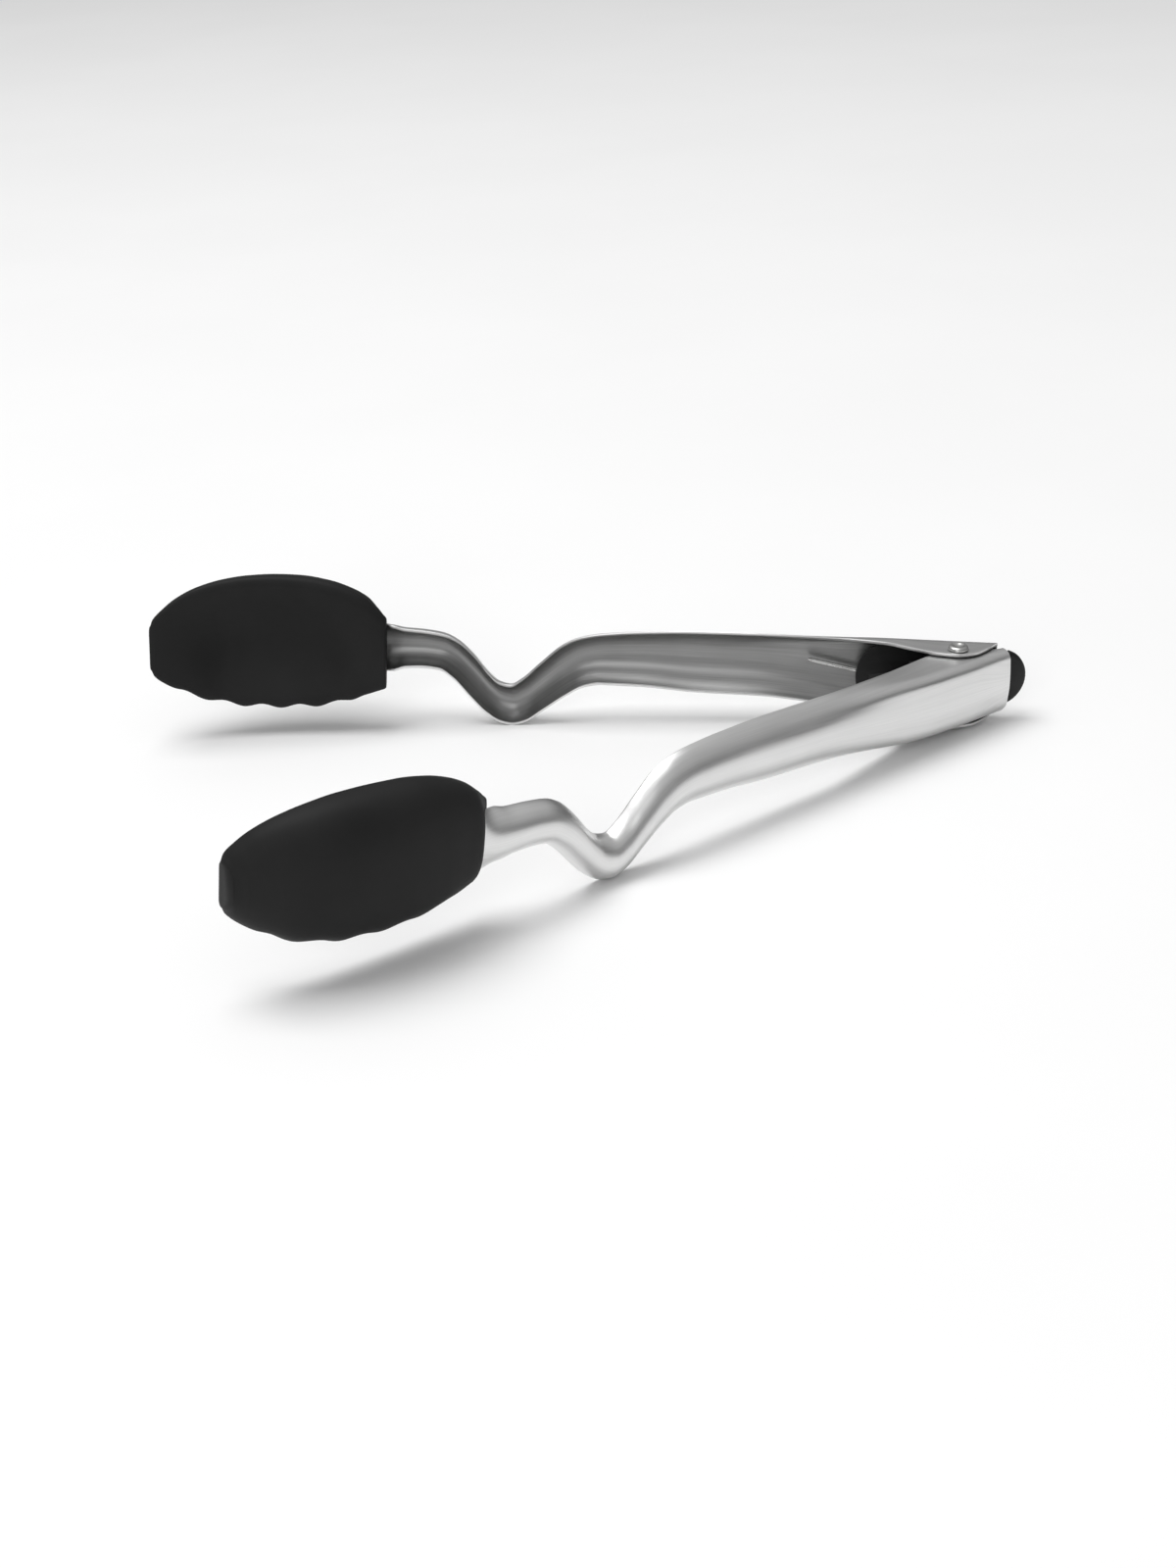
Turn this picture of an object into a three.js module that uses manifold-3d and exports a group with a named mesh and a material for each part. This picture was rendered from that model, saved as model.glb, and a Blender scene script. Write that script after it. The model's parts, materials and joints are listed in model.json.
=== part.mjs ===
// Spring loaded kitchen tongs with silicone heads, lying open on a bench.
//
// Millimetres, +Z up. The tongs are built in a pivot frame first: the pivot pin is its Z axis, the heads
// point along -X, the button is at +X, the far arm is at +Y and the near arm at -Y. A point of an arm is
// given by its station s (distance ahead of the pin), its depth v (outward from the arm's own mid-line)
// and its height z. The whole frame is then tipped until the two V bends and the lower rivet head touch
// the bench at z = 0. The origin is under the middle of the open tongs.
import * as THREE from 'three';
import { mergeVertices } from 'three/addons/utils/BufferGeometryUtils.js';
import Module from 'manifold-3d';

const wasm = await Module();
wasm.setup();

// ---------------------------------------------------------------- driving dimensions
const DEG = Math.PI / 180;
const HALF_OPEN = 21.74 * DEG; // each arm's swing from the centre plane, as the tongs spring open
const SHEET = 0.9; // stainless sheet
const GAP = 0.3; // clearance between neighbouring pieces
const FLANGE_TOP_FAR = 30; // outer faces of the far arm's pivot flanges
const FLANGE_LOW_FAR = 8.1;
const FLANGE_TOP_NEAR = FLANGE_TOP_FAR - SHEET - GAP; // the near arm's flanges nest inside them
const FLANGE_LOW_NEAR = FLANGE_LOW_FAR + SHEET + GAP;
const MID_Z = (FLANGE_TOP_FAR + FLANGE_LOW_FAR) / 2;
const PIN_RADIUS = 1.9;
const RIVET_HEAD_RADIUS = 2.9;
const RIVET_HEAD_HEIGHT = 1.1;
const RIVET_LIFT = 0.2; // the rivet's heads stand just clear of the flanges
const WASHER_RADIUS = 4;
const WASHER = 0.7;
const YOKE = 1.5; // thickness of the slider's two slotted plates
const YOKE_HALF_WIDTH = 3.2;
const SLEEVE_RADIUS = 2.7;
const WIRE = 1.2; // torsion spring wire
const COIL_RADIUS = 3.75; // to the wire's centre line
const COIL_TURNS = 6; // whole turns between the two legs
const HEAD_START = 159.6;
const HEAD_END = 225.1;
const TANG_START = 168;
const TANG_END = 203;
const BUTTON_TRAVEL = 5; // pulled out to lock the closed arms, pushed in to free them
const BUTTON_RADIUS = 8.4;
const BUTTON_THICKNESS = 2.6;
const BUTTON_SOFT = 1; // depth of its rounded rim
const BUTTON_CENTRE_X = 12.3;
const BUTTON_NECK = 5.2; // half height of the part of the button that runs between the arms
const BUTTON_SHOULDER_X = 15.3;
const BUTTON_RISE = 1.2; // of its centre above the middle of the channel
const V_BEND_X = -116.5; // where the V bends touch the bench, in the pivot frame
const REST_TILT = Math.atan((FLANGE_LOW_FAR - RIVET_LIFT - RIVET_HEAD_HEIGHT) / -V_BEND_X);

// ---------------------------------------------------------------- materials
const steel = new THREE.MeshStandardMaterial({ color: 0xc9c9c7, roughness: 0.34, metalness: 1 });
const springSteel = new THREE.MeshStandardMaterial({ color: 0xb4b4b2, roughness: 0.28, metalness: 1 });
const silicone = new THREE.MeshStandardMaterial({ color: 0x202020, roughness: 0.75, metalness: 0 });
const nylon = new THREE.MeshStandardMaterial({ color: 0x151515, roughness: 0.5, metalness: 0 });

// ---------------------------------------------------------------- small helpers

/** Smooth monotone curve through [station, value] pairs; constant beyond both ends. */
function profile(pairs) {
  const count = pairs.length;
  const slopes = pairs.slice(1).map(([x, y], i) => (y - pairs[i][1]) / (x - pairs[i][0]));
  const tangents = pairs.map((_, i) => {
    if (i === 0 || i === count - 1) return 0;
    const [a, b] = [slopes[i - 1], slopes[i]];
    return a * b <= 0 ? 0 : (2 * a * b) / (a + b);
  });
  return (x) => {
    if (x <= pairs[0][0]) return pairs[0][1];
    if (x >= pairs[count - 1][0]) return pairs[count - 1][1];
    const i = pairs.findIndex(([station]) => station > x) - 1;
    const width = pairs[i + 1][0] - pairs[i][0];
    const t = (x - pairs[i][0]) / width;
    const rise = pairs[i + 1][1] - pairs[i][1];
    const bend = tangents[i] * width * t * (1 - t) ** 2 - tangents[i + 1] * width * t * t * (1 - t);
    return pairs[i][1] + rise * t * t * (3 - 2 * t) + bend;
  };
}

const mix = (a, b, t) => a + (b - a) * t;
const ease = (x, from, to) => THREE.MathUtils.smoothstep(x, from, to);

/** Stations from first to last with the given steps, as [end, step] spans. */
function stationsAlong(first, spans) {
  const list = [first];
  let start = first;
  for (const [end, step] of spans) {
    const count = Math.max(1, Math.round((end - start) / step));
    for (let i = 1; i <= count; i++) list.push(mix(start, end, i / count));
    start = end;
  }
  return list;
}

/** Closed body from rings of [x, y, z] points that all have the same count, capped at both ends. */
function loft(rings, flatten) {
  const size = rings[0].length;
  const positions = rings.flat(2);
  const triangles = [];
  for (let r = 0; r + 1 < rings.length; r++) {
    for (let i = 0; i < size; i++) {
      const [a, b] = [r * size + i, r * size + ((i + 1) % size)];
      triangles.push([a, b, b + size], [a, b + size, a + size]);
    }
  }
  for (const [r, flip] of [[0, true], [rings.length - 1, false]]) {
    const outline = rings[r].map(flatten);
    const ccw = THREE.ShapeUtils.area(outline) > 0;
    for (const [a, b, c] of THREE.ShapeUtils.triangulateShape(outline, [])) {
      const face = [r * size + a, r * size + b, r * size + c];
      triangles.push(ccw === flip ? face.reverse() : face);
    }
  }
  return closedGeometry(positions, triangles);
}

/** Indexed geometry whose faces point out, whichever way round they were listed. */
function closedGeometry(positions, triangles) {
  const at = (i) => new THREE.Vector3().fromArray(positions, 3 * i);
  const volume = triangles.reduce((sum, [a, b, c]) => sum + at(a).dot(at(b).cross(at(c))), 0);
  const ordered = volume < 0 ? triangles.map(([a, b, c]) => [a, c, b]) : triangles;
  const geometry = new THREE.BufferGeometry();
  geometry.setAttribute('position', new THREE.Float32BufferAttribute(positions, 3));
  geometry.setIndex(ordered.flat());
  return geometry;
}

/** manifold-3d solid of a closed geometry. */
function solidOf(geometry) {
  const bare = geometry.clone();
  bare.deleteAttribute('normal');
  bare.deleteAttribute('uv');
  const merged = mergeVertices(bare, 1e-4);
  const vertProperties = new Float32Array(merged.attributes.position.array);
  const triVerts = new Uint32Array(merged.index.array);
  return new wasm.Manifold(new wasm.Mesh({ numProp: 3, vertProperties, triVerts }));
}

/** Geometry of a manifold-3d solid. */
function geometryOf(solid) {
  const { vertProperties, triVerts } = solid.getMesh();
  const geometry = new THREE.BufferGeometry();
  geometry.setAttribute('position', new THREE.BufferAttribute(new Float32Array(vertProperties), 3));
  geometry.setIndex(Array.from(triVerts));
  return geometry;
}

const join = (first, ...rest) => geometryOf(rest.reduce((sum, g) => sum.add(solidOf(g)), solidOf(first)));
const cut = (first, ...rest) => geometryOf(rest.reduce((sum, g) => sum.subtract(solidOf(g)), solidOf(first)));

/** Named mesh with flat-shaded normals. */
function piece(name, geometry, material) {
  const faceted = geometry.index ? geometry.toNonIndexed() : geometry;
  faceted.computeVertexNormals();
  const mesh = new THREE.Mesh(faceted, material);
  mesh.name = name;
  return mesh;
}

/** Box between two corners. */
function block([x0, y0, z0], [x1, y1, z1]) {
  const box = new THREE.BoxGeometry(x1 - x0, y1 - y0, z1 - z0);
  return box.translate((x0 + x1) / 2, (y0 + y1) / 2, (z0 + z1) / 2);
}

/** Upright cylinder about (x, y) from z0 to z1. */
function post(radius, z0, z1, x = 0, y = 0, segments = 32) {
  const cylinder = new THREE.CylinderGeometry(radius, radius, z1 - z0, segments);
  return cylinder.rotateX(Math.PI / 2).translate(x, y, (z0 + z1) / 2);
}

/** Body of revolution about the pin from [radius, z] pairs. */
function turned(pairs, segments = 32) {
  const points = pairs.map(([r, z]) => new THREE.Vector2(r, z));
  return new THREE.LatheGeometry(points, segments).rotateX(Math.PI / 2);
}

/** Outline in X-Z pushed through the thickness y0..y1. */
function plate(shape, y0, y1) {
  const options = { depth: y1 - y0, bevelEnabled: false, curveSegments: 24 };
  return new THREE.ExtrudeGeometry(shape, options).rotateX(Math.PI / 2).translate(0, y1, 0);
}

// ---------------------------------------------------------------- head surfaces

// Upper and lower rim heights of the spoon-shaped head against the station.
const headTop = profile([
  [159.6, 32], [162, 34.2], [165.5, 37.3], [170, 39.8], [176, 41.8], [184, 43.1], [192, 43.4],
  [199, 43.1], [206, 42.1], [213, 40.2], [218.5, 37.5], [222, 34.7], [224.2, 32.4], [225.1, 30.4],
]);
const headLow = profile([
  [159.6, 11.6], [162, 10.9], [165.5, 9.6], [170, 8.2], [176, 6.5], [184, 5.5], [192, 5.2],
  [199, 5.5], [206, 6.5], [213, 8.6], [218.5, 11.3], [222, 13.7], [224.2, 16], [225.1, 18],
]);
// Depth of the rim, which curls in towards the other head at the tip, and of the bowl behind it.
const headRim = profile([
  [159.6, 0.2], [184, -0.5], [192, -1.1], [199, -2], [206, -3.1], [213, -4.8], [218.5, -6.8],
  [222, -8.4], [225.1, -9.5],
]);
const headBowl = profile([
  [159.6, 1.5], [162, 4.4], [165.4, 8.8], [170, 9.7], [176, 10.7], [186, 11.6], [199, 11.4],
  [206, 10.8], [213, 9.3], [222, 7], [225.1, 5.6],
]);
// How far the upper rim leans out, and the lower one in.
const headLean = profile([[159.6, 1.9], [225.1, 0.9]]);
const headWall = profile([[159.6, 6], [166, 5.6], [176, 5], [225.1, 3.6]]);
const BOWL_POWER = 2.4;
const LIP_SHARE = 0.3; // how far the lip stands in front of the rim, in walls
const DISH_SHARE = 0.65; // dish depth / (bowl depth less the wall)
const DISH_RUN = 20; // mm over which the dish fades out at either end
const SCALLOP_PITCH = 10.6;
const SCALLOP_DEPTH = 0.55;
const SCALLOP_LOBE = 190.2; // the middle one of the five lobes
const SCALLOP_START = 164;
const SCALLOP_END = 221;

/** How far the lower rim's five shallow lobes drop at a station. */
function scallop(s) {
  const wave = Math.cos((2 * Math.PI * (s - SCALLOP_LOBE)) / SCALLOP_PITCH);
  const fade = ease(s, SCALLOP_START, SCALLOP_START + 6) * (1 - ease(s, SCALLOP_END - 5, SCALLOP_END));
  return SCALLOP_DEPTH * fade * wave;
}

/** Rounded-rectangle bulge: 1 in the middle, 0 at both rims. */
const bulge = (w) => Math.max(0, 1 - Math.abs(w) ** BOWL_POWER) ** (1 / BOWL_POWER);

/** Outer depth of the head at a station and height. */
function headOuter(s, z) {
  const [top, low] = [headTop(s), headLow(s)];
  const w = (2 * z - top - low) / (top - low);
  return headRim(s) + headLean(s) * w + headBowl(s) * bulge(w);
}

/** One [v, z] ring of the head: outer skin, lower rim, dished inner skin, upper rim. */
function headRing(s) {
  const [middle, half] = [(headTop(s) + headLow(s)) / 2, (headTop(s) - headLow(s)) / 2];
  const bowl = headBowl(s);
  const wall = Math.min(headWall(s), half - 1.5);
  const lip = LIP_SHARE * wall;
  const rear = ease(s, HEAD_START, HEAD_START + DISH_RUN);
  const tip = ease(s, HEAD_END - DISH_RUN, HEAD_END - 1);
  const dished = DISH_SHARE * (Math.max(0, bowl - wall) + lip) * rear * (1 - tip);
  const crest = 1 - wall / 2 / half;
  const turns = (steps) => Array.from({ length: steps + 1 }, (_, i) => Math.PI * (0.5 - i / steps));
  const heights = (steps) => turns(steps).map(Math.sin);
  const place = ([depth, w]) => [
    headRim(s) + headLean(s) * w + depth,
    middle + half * w - scallop(s) * Math.max(0, -w) ** 10,
  ];
  const outer = heights(14).map((w) => [bowl * bulge(w), w]);
  const edge = [25, 55].map((degrees) => {
    return [-lip * Math.sin(degrees * DEG), 1 - (1 - crest) * (1 - Math.cos(degrees * DEG))];
  });
  const dish = heights(8).map((w) => [dished * (1 - w ** 2) ** 1.5 - lip, crest * w]).reverse();
  const lower = edge.map(([depth, w]) => [depth, -w]);
  return [...outer, ...lower, ...dish, ...edge.reverse()].map(place);
}

// ---------------------------------------------------------------- arm surfaces

const BOTH_ARMS = {
  // free edges of the stamping from the straight handle, down and up the V bend, to the neck
  top: [
    [55, 31], [72, 30.9], [88, 30.2], [99, 29.1], [105, 27.8], [109.5, 25.6], [116, 19.9], [121.5, 14.6],
    [125, 12.5], [128, 13.2], [131, 16], [135, 21.3], [139, 25.1], [143, 27], [149, 27.9], [155, 28.4],
    [158.5, 29.3],
  ],
  low: [
    [55, 12], [72, 12.3], [88, 13.3], [99, 13.4], [104, 12.4], [109.5, 9.2], [116, 4.4], [121, 0.9],
    [124.6, 0], [128, 0.7], [132, 3.4], [136.5, 8.2], [141, 13.3], [145, 16], [150, 16.5], [155, 16.2],
    [158.5, 15.2],
  ],
};

const ARM_SHAPES = {
  far: {
    rear: -11,
    top: profile([[26, FLANGE_TOP_FAR], ...BOTH_ARMS.top]),
    low: profile([[18, FLANGE_LOW_FAR], ...BOTH_ARMS.low]),
    edge: profile([
      [-11, 6.4], [-9.6, 4.2], [-7.6, 1], [-4.5, -2.3], [0, -3.9], [5, -3.3], [11, -1.2], [20, 3.1],
      [31, 4.7], [50, 3.7], [100, 3.2], [158, 2.6],
    ]),
    web: profile([[-11, 8.7], [30, 9.2], [120, 9], [158, 9]]),
  },
  near: {
    rear: -13,
    top: profile([[14, FLANGE_TOP_NEAR], [40, 30], ...BOTH_ARMS.top]),
    low: profile([[14, FLANGE_LOW_NEAR], [40, 11.1], ...BOTH_ARMS.low]),
    edge: profile([
      [-13, 4.4], [-7, 1.6], [0, -3.4], [7, -3.8], [15, -3], [26, -1.2], [40, 1], [55, 3.2],
      [100, 3.2], [158, 2.6],
    ]),
    web: profile([[-13, 8.2], [4, 9], [30, 9.2], [120, 9], [158, 9]]),
  },
};
const TOP_CORNER = 2.8; // outside corner radii of the channel at the pivot
const LOW_CORNER = 5.4;
const CHANNEL_END = 20; // the channel section starts to open out here
const ARC_START = 62; // and is a plain arc from here on
const CROWN = 0.4; // how far the web bows out between its corners
const HALF_STEPS = 7; // points from a free edge to the middle of the web

/** Half of the flat-flanged channel, from its free edge to the middle of its web, as depths and rises. */
function halfChannel(edge, web, half, radius) {
  const corner = web - CROWN - radius;
  const firstTurn = edge > corner ? Math.asin((edge - corner) / radius) : 0;
  const flange = Math.max(0, corner - edge);
  const bend = radius * (Math.PI / 2 - firstTurn);
  const wall = half - radius;
  return Array.from({ length: HALF_STEPS + 1 }, (_, i) => {
    const along = ((flange + bend + wall) * i) / HALF_STEPS;
    if (along < flange) return [edge + along, half];
    if (along < flange + bend) {
      const turn = firstTurn + (along - flange) / radius;
      return [corner + radius * Math.sin(turn), half - radius * (1 - Math.cos(turn))];
    }
    const t = (along - flange - bend) / wall;
    return [web - CROWN + CROWN * Math.sin((Math.PI / 2) * t), wall * (1 - t)];
  });
}

/** Flat-flanged channel outline, from the upper free edge round to the lower one. */
function channelCurve(edge, web, top, low) {
  const [middle, half] = [(top + low) / 2, (top - low) / 2];
  const upper = halfChannel(edge, web, half, TOP_CORNER).map(([v, rise]) => [v, middle + rise]);
  const lower = halfChannel(edge, web, half, LOW_CORNER).map(([v, rise]) => [v, middle - rise]);
  return [...upper, ...lower.slice(0, -1).reverse()];
}

/** Circular arc outline with the same ends, the same depth and the same number of points. */
function arcCurve(edge, web, top, low, count) {
  const half = (top - low) / 2;
  const depth = web - edge;
  const radius = (half * half + depth * depth) / (2 * depth);
  const reach = depth < half ? Math.asin(half / radius) : Math.PI - Math.asin(half / radius);
  return Array.from({ length: count }, (_, i) => {
    const turn = reach * (1 - (2 * i) / (count - 1));
    return [web - radius + radius * Math.cos(turn), (top + low) / 2 + radius * Math.sin(turn)];
  });
}

const TANG_COVER = 1.5; // silicone over the tang

/** The tang's outline: it follows the bowl of the head half way through its wall. */
function tangCurve(s, top, low, count) {
  return Array.from({ length: count }, (_, i) => {
    const z = mix(top, low, i / (count - 1));
    return [headOuter(s, z) - TANG_COVER, z];
  });
}

const tangHalf = profile([[158.5, 7.05], [163, 8], [166, 8.2], [175, 7.5], [192, 7.5], [TANG_END, 3.5]]);
const tangMiddle = profile([[158.5, 22.3], [180, 23.6], [203, 24.2]]);

/** Outer [v, z] curve of an arm at a station. */
function armCurve(shape, s) {
  const [edge, web] = [shape.edge(s), shape.web(s)];
  const inHead = s > 158.5;
  const top = inHead ? tangMiddle(s) + tangHalf(s) : shape.top(s);
  const low = inHead ? tangMiddle(s) - tangHalf(s) : shape.low(s);
  const channel = channelCurve(edge, web, top, low);
  const arc = arcCurve(edge, web, top, low, channel.length);
  const open = ease(s, CHANNEL_END, ARC_START);
  const tang = tangCurve(Math.max(s, TANG_START), top, low, channel.length);
  const sink = ease(s, HEAD_START - 1.6, TANG_START);
  return channel.map(([v, z], i) => {
    const plain = [mix(v, arc[i][0], open), mix(z, arc[i][1], open)];
    return [mix(plain[0], tang[i][0], sink), mix(plain[1], tang[i][1], sink)];
  });
}

/** Curve moved along its own outward normal, and past its two ends by the same kind of amount. */
function offsetCurve(curve, out, past) {
  return curve.map(([v, z], i) => {
    const [a, b] = [curve[Math.max(0, i - 1)], curve[Math.min(curve.length - 1, i + 1)]];
    const length = Math.hypot(b[0] - a[0], b[1] - a[1]);
    const [tv, tz] = [(b[0] - a[0]) / length, (b[1] - a[1]) / length];
    const slide = i === 0 ? -past : i === curve.length - 1 ? past : 0;
    return [v - tz * out + tv * slide, z + tv * out + tz * slide];
  });
}

/** Body of an arm's sheet between stations, grown on all faces by the given amount. */
function armBody(shape, stations, grow = 0) {
  const rings = stations.map((s) => {
    const curve = armCurve(shape, s);
    const outer = offsetCurve(curve, grow, grow);
    const inner = offsetCurve(curve, -SHEET - grow, grow).reverse();
    return [...outer, ...inner].map(([v, z]) => [-s, v, z]);
  });
  return loft(rings, ([, v, z]) => new THREE.Vector2(v, z));
}

/** Mirrors a piece of the far arm into the near arm. */
function mirrored(geometry) {
  const copy = geometry.index ? geometry.clone() : mergeVertices(geometry);
  copy.scale(1, -1, 1);
  const order = copy.index.array;
  for (let i = 0; i < order.length; i += 3) [order[i + 1], order[i + 2]] = [order[i + 2], order[i + 1]];
  return copy;
}

// ---------------------------------------------------------------- the pieces of one arm

const ARM_SPANS = [
  [-8, 1], [-4, 1.4], [12, 2.7], [20, 4], [60, 8], [98, 9.5], [111, 2.6], [124, 2.2], [142, 2.3],
  [156, 3], [165, 1.9], [195, 7.5], [TANG_END, 4],
];

const HEAD_SPANS = [[163, 1.1], [180, 2.1], [218, 1.75], [222, 1.3], [HEAD_END, 0.65]];
const POCKET_SPANS = [[165, 1.9], [195, 7.5], [TANG_END + GAP, 4]];
const TALL = 40; // taller than any piece, for cutting right through

/** One arm's stamping, drilled for the pin. */
function armSheet(shape) {
  const body = armBody(shape, stationsAlong(shape.rear, ARM_SPANS));
  return cut(body, post(PIN_RADIUS + GAP / 2, 0, TALL));
}

/** One silicone head, with the pocket that its tang fills. */
function headSkin(shape) {
  const stations = stationsAlong(HEAD_START, HEAD_SPANS);
  const rings = stations.map((s) => headRing(s).map(([v, z]) => [-s, v, z]));
  const skin = loft(rings, ([, v, z]) => new THREE.Vector2(v, z));
  const pocket = armBody(shape, stationsAlong(HEAD_START - 2, POCKET_SPANS), GAP);
  return cut(skin, pocket);
}

const INSERT_FACE = 4.2; // depth of the insert's visible face
const INSERT_BACK = 5.6;
const INSERT_CHAMFER = { far: 1.3, near: 1.4 }; // where the insert meets the channel's rounded corners
const BITE = 0.5; // how far joined blocks run into each other
const INSERT_START = 9;
const INSERT_NOSE = 27.6; // furthest station of the bowed front edge
const INSERT_NOSE_RADIUS = 11.2;
const HOOK = { root: 14.5, neck: 16, end: 20, low: MID_Z - 2.1, high: MID_Z + 2.1, inner: -0.1, outer: 0.6 };

/** Black block in the arm's channel; its hook is what the lock slider holds. */
function insert(high, low, chamfer) {
  const nose = new THREE.Shape();
  const reach = Math.asin((high - MID_Z) / INSERT_NOSE_RADIUS);
  nose.moveTo(-INSERT_START, low);
  nose.lineTo(-INSERT_START, high);
  const centre = INSERT_NOSE_RADIUS - INSERT_NOSE;
  nose.absarc(centre, MID_Z, INSERT_NOSE_RADIUS, Math.PI - reach, Math.PI + reach, false);
  const section = new THREE.Shape([
    new THREE.Vector2(INSERT_FACE, low), new THREE.Vector2(INSERT_BACK - chamfer, low),
    new THREE.Vector2(INSERT_BACK, low + chamfer), new THREE.Vector2(INSERT_BACK, high - chamfer),
    new THREE.Vector2(INSERT_BACK - chamfer, high), new THREE.Vector2(INSERT_FACE, high),
  ]);
  const across = plate(nose, 0, 2 * INSERT_BACK);
  const along = new THREE.ExtrudeGeometry(section, { depth: TALL, bevelEnabled: false });
  along.rotateX(Math.PI / 2).rotateZ(Math.PI / 2).translate(-TALL, 0, 0);
  const body = geometryOf(solidOf(across).intersect(solidOf(along)));
  const finger = block([-HOOK.neck, HOOK.inner, HOOK.low], [-HOOK.root, INSERT_FACE + BITE, HOOK.high]);
  const hook = block([-HOOK.end, HOOK.inner, HOOK.low], [-HOOK.root, HOOK.outer, HOOK.high]);
  return join(body, finger, hook);
}

// ---------------------------------------------------------------- the pivot

const inside = { low: FLANGE_LOW_NEAR + SHEET, high: FLANGE_TOP_NEAR - SHEET };
const upperWasher = inside.high - GAP - WASHER;
const lowerWasher = inside.low + GAP;
const upperYoke = upperWasher - GAP - YOKE;
const lowerYoke = lowerWasher + WASHER + GAP;
const sleeve = { low: lowerYoke + YOKE + GAP, high: upperYoke - GAP };

/** Pin with two low domed heads, the upper one dimpled by the riveting tool. */
function rivet() {
  const [top, low] = [FLANGE_TOP_FAR + RIVET_LIFT, FLANGE_LOW_FAR - RIVET_LIFT];
  const [r, h] = [RIVET_HEAD_RADIUS, RIVET_HEAD_HEIGHT];
  return turned([
    [0, low - h], [0.7 * r, low - h], [0.93 * r, low - 0.7 * h], [r, low - 0.2 * h], [r, low],
    [PIN_RADIUS, low], [PIN_RADIUS, top],
    [r, top], [r, top + 0.25 * h], [0.88 * r, top + 0.75 * h], [0.62 * r, top + h],
    [0.4 * r, top + 0.85 * h], [0.25 * r, top + 0.55 * h], [0, top + 0.45 * h],
  ]);
}

/** Flat ring about the pin. */
function ring(inner, outer, low, high) {
  return turned([[inner, low], [outer, low], [outer, high], [inner, high], [inner, low]]);
}

const LEG_TIP = 41; // station where each spring leg ends
const LEG_DEPTH = 6.5; // depth of the leg's centre line, against the web
const LEG_RISE = 8.8;
const LEG_PATH = [ // station, depth and share of the rise
  [3, 4.2, 0.07], [6, 5.5, 0.15], [8.6, 6.3, 0.21], [12, LEG_DEPTH, 0.3], [26, LEG_DEPTH, 0.65],
  [LEG_TIP, LEG_DEPTH - 0.3, 1],
];
const COIL_PLAY = 0.2; // between the coil's ends and the yokes
const COIL_STEPS = 84;
const WIRE_SIDES = 6;
const WIRE_STEPS = 120;

/** Torsion spring: a coil about the sleeve whose two legs press the arms' webs outward. */
function torsionSpring() {
  const low = sleeve.low + WIRE / 2 + COIL_PLAY;
  const high = sleeve.high - WIRE / 2 - COIL_PLAY;
  const firstTurn = Math.PI / 2 - HALF_OPEN;
  const lastTurn = firstTurn - 2 * Math.PI * COIL_TURNS - 2 * firstTurn;
  const points = [];
  const legPoint = (side, [s, v, rise]) => {
    const z = side > 0 ? low + rise * LEG_RISE : high - rise * LEG_RISE;
    const [c, n] = [Math.cos(HALF_OPEN), Math.sin(HALF_OPEN)];
    return new THREE.Vector3(-s * c + v * n, side * (s * n + v * c), z);
  };
  for (const node of [...LEG_PATH].reverse()) points.push(legPoint(1, node));
  for (let i = 0; i <= COIL_STEPS; i++) {
    const turn = mix(firstTurn, lastTurn, i / COIL_STEPS);
    const z = mix(low, high, i / COIL_STEPS);
    points.push(new THREE.Vector3(COIL_RADIUS * Math.cos(turn), COIL_RADIUS * Math.sin(turn), z));
  }
  for (const node of LEG_PATH) points.push(legPoint(-1, node));
  const curve = new THREE.CatmullRomCurve3(points, false, 'centripetal');
  const section = new THREE.Shape(Array.from({ length: WIRE_SIDES }, (_, i) => {
    const turn = (2 * Math.PI * i) / WIRE_SIDES;
    return new THREE.Vector2((WIRE / 2) * Math.cos(turn), (WIRE / 2) * Math.sin(turn));
  }));
  return new THREE.ExtrudeGeometry(section, { steps: WIRE_STEPS, extrudePath: curve, bevelEnabled: false });
}

// ---------------------------------------------------------------- the lock

const SLOT_HALF = PIN_RADIUS + GAP;
const SLOT_SLACK = 0.1; // the slot is this much longer than the travel at each end
const NOSE = { // places along the slide, then the half width between the bars, the shelves and their spacing
  front: -24.6, bar: -23.8, barEnd: -22.2, post: -13, back: -10,
  inner: 2, plate: 1.5, gap: 3.4,
};
const TAIL = { taper: 1, end: 4.8, back: 7 };

/** One slotted plate of the slider, seen from above. */
function yokePlate(z) {
  const half = YOKE_HALF_WIDTH;
  const tail = BUTTON_THICKNESS / 2;
  const outline = new THREE.Shape();
  outline.moveTo(NOSE.post, -half);
  outline.lineTo(TAIL.taper, -half);
  outline.lineTo(TAIL.end, -tail);
  outline.lineTo(TAIL.back, -tail);
  outline.lineTo(TAIL.back, tail);
  outline.lineTo(TAIL.end, tail);
  outline.lineTo(TAIL.taper, half);
  outline.lineTo(NOSE.post, half);
  const slot = new THREE.Path();
  slot.absarc(SLOT_SLACK, 0, SLOT_HALF, -Math.PI / 2, Math.PI / 2, false);
  slot.absarc(-BUTTON_TRAVEL - SLOT_SLACK, 0, SLOT_HALF, Math.PI / 2, (3 * Math.PI) / 2, false);
  outline.holes.push(slot);
  const options = { depth: YOKE, bevelEnabled: false, curveSegments: 10 };
  return new THREE.ExtrudeGeometry(outline, options).translate(0, 0, z);
}

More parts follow.
